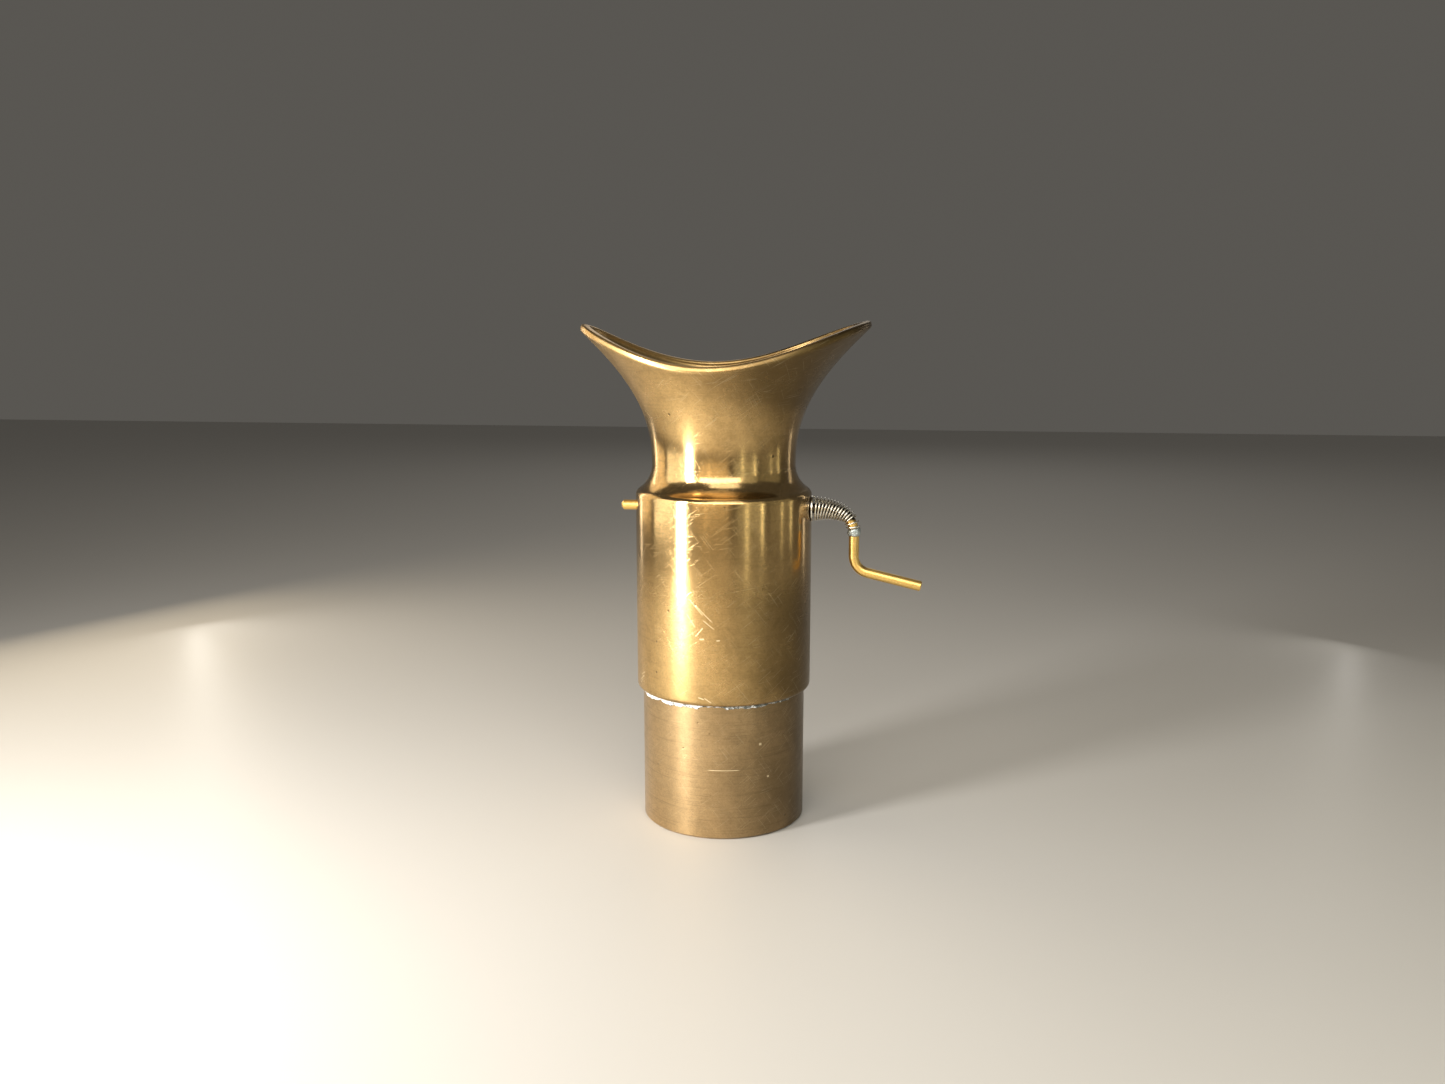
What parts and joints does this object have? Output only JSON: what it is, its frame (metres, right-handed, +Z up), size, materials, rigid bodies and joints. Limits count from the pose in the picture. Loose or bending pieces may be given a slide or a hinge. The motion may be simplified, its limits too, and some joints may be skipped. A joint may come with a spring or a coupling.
{
  "type": "pepper mill",
  "caption": "Small brass pepper mill with a saddle-shaped mouth, a sprung side crank on a level axle, a cone burr inside and a pull-off receptacle tube.",
  "frame": {"origin": "centre of the face that the mill stands on", "axes": "+Z up along the body's axis, +X along the axle towards the crank, with the mouth's two wings over +X and -X"},
  "size_m": [0.0808, 0.0506, 0.1201],
  "materials": {
    "polished_brass": "polished, with patina",
    "satin_brass": "turned satin",
    "rod_brass": "drawn rod",
    "inner_brass": "dull, unpolished",
    "spring_steel": "drawn wire",
    "burr_steel": "hardened, dark",
    "screw_steel": "plain"
  },
  "bodies": {
    "receptacle": {"receptacle_tube": "satin_brass", "receptacle_floor": "inner_brass"},
    "mill": {"shell": "polished_brass", "mouth_rim": "polished_brass", "stop_ring": "inner_brass", "hopper_dish": "inner_brass", "burr_housing": "inner_brass", "ring_burr": "burr_steel", "outlet_cap": "inner_brass", "housing_screws": "screw_steel", "ring_screw": "screw_steel", "left_bush": "inner_brass", "right_bush": "inner_brass"},
    "spring": {"spring_washer": "spring_steel", "crank_spring": "spring_steel"},
    "crank": {"crank_rod": "rod_brass", "feed_worm": "burr_steel", "cone_burr": "burr_steel", "cross_pins": "screw_steel", "stop_collar": "inner_brass", "collar_screw": "screw_steel"}
  },
  "joints": [
    {"name": "mill_lift", "type": "slide", "parent": "receptacle", "child": "mill", "axis": [0, 0, 1], "range_m": [0, 0.03]},
    {"name": "crank_turn", "type": "hinge", "parent": "mill", "child": "spring", "pos_m": [0, 0, 0.0762], "axis": [1, 0, 0], "continuous": true},
    {"name": "crank_push", "type": "slide", "parent": "spring", "child": "crank", "axis": [1, 0, 0], "range_m": [-0.0022, 0], "stiffness_N_per_m": 560, "springref_m": 0.004, "deforming": ["crank_spring"]}
  ]
}
